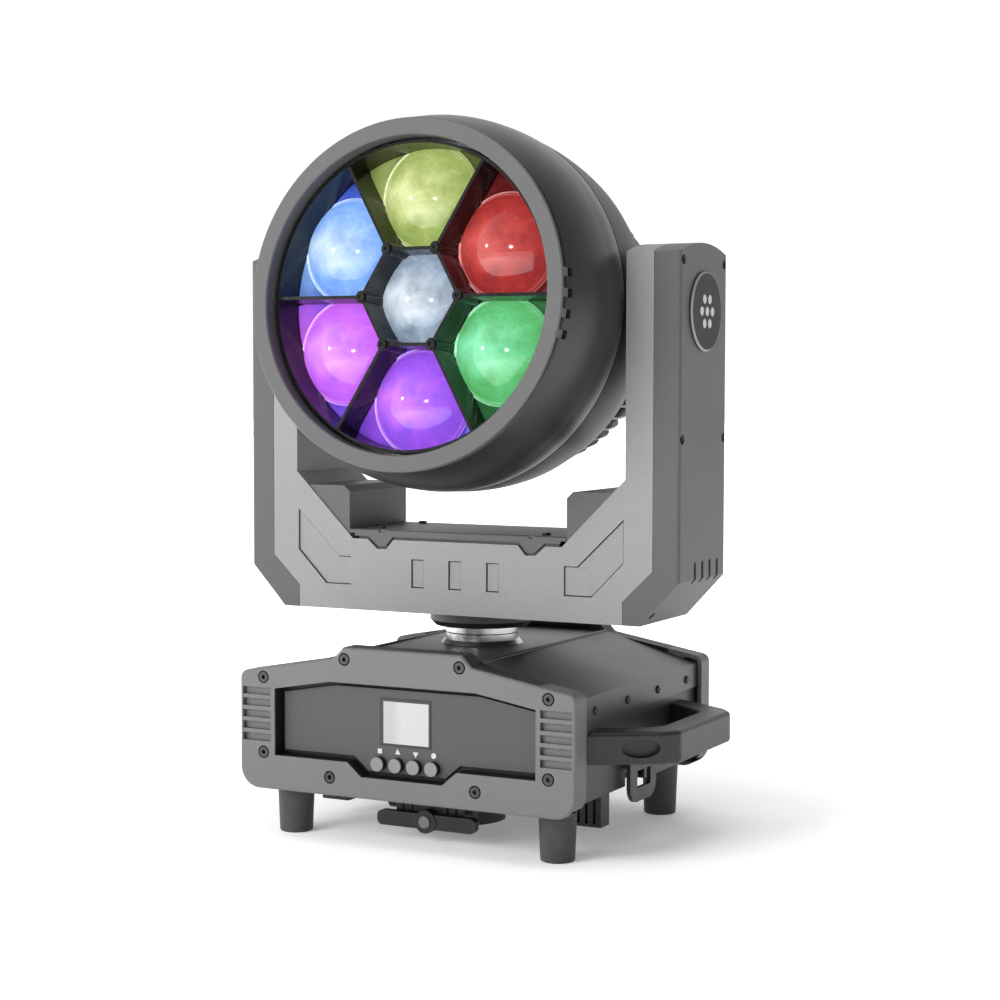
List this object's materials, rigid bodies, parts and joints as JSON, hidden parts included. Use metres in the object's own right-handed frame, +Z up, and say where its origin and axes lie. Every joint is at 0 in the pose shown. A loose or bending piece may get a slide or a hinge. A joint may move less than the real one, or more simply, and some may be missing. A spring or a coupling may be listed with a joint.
{
  "type": "moving head light",
  "caption": "Moving head wash light: round multi-lens zoom head in a U-shaped yoke on a wide base with display, side handles and folding hooks.",
  "frame": {"origin": "on the floor under the pan axis, midway between the two bezels", "axes": "+Z up, -Y towards the side with the display, +X to the viewer's right when facing the display"},
  "size_m": [0.351, 0.2449, 0.5008],
  "materials": {
    "painted_metal": "fine textured charcoal powder coat",
    "cover_paint": "satin charcoal paint",
    "casing_plastic": "fine textured charcoal moulding",
    "dark_plastic": "matt black",
    "glass_black": "polished black window",
    "rubber": "matt",
    "bright_steel": "turned satin",
    "black_steel": "black oxide",
    "aluminium": "machined",
    "anodised": "dark anodised",
    "board": "solder mask",
    "lens": "frosted moulded lens",
    "chrome": "polished"
  },
  "bodies": {
    "base": {"base_tray": "painted_metal", "base_top_cover": "cover_paint", "front_bezel": "casing_plastic", "rear_bezel": "casing_plastic", "control_panel": "casing_plastic", "display_window": "glass_black", "control_boards": "board", "rear_panel": "casing_plastic", "rear_sockets": "dark_plastic", "handle_right": "casing_plastic", "handle_left": "casing_plastic", "feet": "rubber", "bezel_screws": "bright_steel", "cover_screws": "black_steel", "safety_eye": "black_steel", "power_supply": "aluminium", "pan_shaft": "aluminium", "pan_pulley": "aluminium", "lower_collar": "bright_steel", "clamp_rail": "black_steel"},
    "menu_button_1": {"menu_button_1": "dark_plastic"},
    "menu_button_2": {"menu_button_2": "dark_plastic"},
    "menu_button_3": {"menu_button_3": "dark_plastic"},
    "menu_button_4": {"menu_button_4": "dark_plastic"},
    "hook_front": {"hook_front": "aluminium"},
    "hook_rear": {"hook_rear": "aluminium"},
    "wing_bolt_front": {"wing_bolt_front": "black_steel"},
    "wing_bolt_rear": {"wing_bolt_rear": "black_steel"},
    "yoke": {"yoke_casing": "casing_plastic", "arm_cover_right": "casing_plastic", "arm_cover_left": "casing_plastic", "arm_badges": "dark_plastic", "arm_screws": "black_steel", "yoke_top_cover": "casing_plastic", "motor_housings": "casing_plastic", "pan_flange": "painted_metal", "upper_collar": "bright_steel", "yoke_bearings": "bright_steel", "drive_motors": "black_steel", "drive_belts": "rubber"},
    "pan_motor_pulley": {"pan_motor_pulley": "aluminium"},
    "tilt_motor_pulley": {"tilt_motor_pulley": "aluminium"},
    "head": {"front_ring": "painted_metal", "barrel_shell": "painted_metal", "rear_shell": "painted_metal", "heatsink": "anodised", "rear_cover": "painted_metal", "head_chassis": "aluminium", "tilt_axles": "aluminium", "tilt_pulley": "aluminium", "led_board": "board", "light_rods": "lens", "guide_rods": "chrome", "zoom_motor": "black_steel"},
    "head_fan": {"head_fan": "dark_plastic"},
    "lead_screw": {"lead_screw": "bright_steel"},
    "zoom_carriage": {"cell_frame": "dark_plastic", "zoom_lenses": "lens", "lens_screws": "black_steel"}
  },
  "joints": [
    {"name": "menu_button_1_press", "type": "slide", "parent": "base", "child": "menu_button_1", "axis": [0, 1, 0], "range_m": [0, 0.0012], "stiffness_N_per_m": 400, "springref_m": -0.0008},
    {"name": "menu_button_2_press", "type": "slide", "parent": "base", "child": "menu_button_2", "axis": [0, 1, 0], "range_m": [0, 0.0012], "stiffness_N_per_m": 400, "springref_m": -0.0008},
    {"name": "menu_button_3_press", "type": "slide", "parent": "base", "child": "menu_button_3", "axis": [0, 1, 0], "range_m": [0, 0.0012], "stiffness_N_per_m": 400, "springref_m": -0.0008},
    {"name": "menu_button_4_press", "type": "slide", "parent": "base", "child": "menu_button_4", "axis": [0, 1, 0], "range_m": [0, 0.0012], "stiffness_N_per_m": 400, "springref_m": -0.0008},
    {"name": "pan", "type": "hinge", "parent": "base", "child": "yoke", "pos_m": [0, 0, 0.15], "axis": [0, 0, 1], "range_deg": [-270, 270]},
    {"name": "tilt", "type": "hinge", "parent": "yoke", "child": "head", "pos_m": [0, 0, 0.3665], "axis": [-1, 0, 0], "range_deg": [-27.5, 197.5]},
    {"name": "pan_motor_turn", "type": "hinge", "parent": "yoke", "child": "pan_motor_pulley", "pos_m": [0.078, 0, 0.19], "axis": [0, 0, 1], "range_deg": [-972, 972]},
    {"name": "tilt_motor_turn", "type": "hinge", "parent": "yoke", "child": "tilt_motor_pulley", "pos_m": [0.144, 0, 0.217], "axis": [-1, 0, 0], "range_deg": [-99, 711]},
    {"name": "hook_front_fold", "type": "hinge", "parent": "base", "child": "hook_front", "pos_m": [0, -0.072, 0.026], "axis": [-1, 0, 0], "range_deg": [0, 90]},
    {"name": "hook_rear_fold", "type": "hinge", "parent": "base", "child": "hook_rear", "pos_m": [0, 0.072, 0.026], "axis": [1, 0, 0], "range_deg": [0, 90]},
    {"name": "wing_bolt_front_turn", "type": "hinge", "parent": "hook_front", "child": "wing_bolt_front", "pos_m": [0, -0.08, 0.015], "axis": [0, -1, 0], "range_deg": [-12, 0]},
    {"name": "wing_bolt_rear_turn", "type": "hinge", "parent": "hook_rear", "child": "wing_bolt_rear", "pos_m": [0, 0.08, 0.015], "axis": [0, 1, 0], "range_deg": [-12, 0]},
    {"name": "fan_spin", "type": "hinge", "parent": "head", "child": "head_fan", "pos_m": [0, 0.07272, 0.36014], "axis": [0, 0.9962, -0.0872], "continuous": true},
    {"name": "zoom", "type": "slide", "parent": "head", "child": "zoom_carriage", "axis": [0, 0.9962, -0.0872], "range_m": [0, 0.025]},
    {"name": "lead_screw_turn", "type": "hinge", "parent": "head", "child": "lead_screw", "pos_m": [0, -0.04031, 0.47944], "axis": [0, 0.9962, -0.0872], "range_deg": [0, 360]}
  ],
  "couplings": [
    {"joint": "pan_motor_turn", "follows": "pan", "ratio": -3.6},
    {"joint": "tilt_motor_turn", "follows": "tilt", "ratio": 3.6},
    {"joint": "lead_screw_turn", "follows": "zoom", "rad_per_m": 251.33}
  ]
}
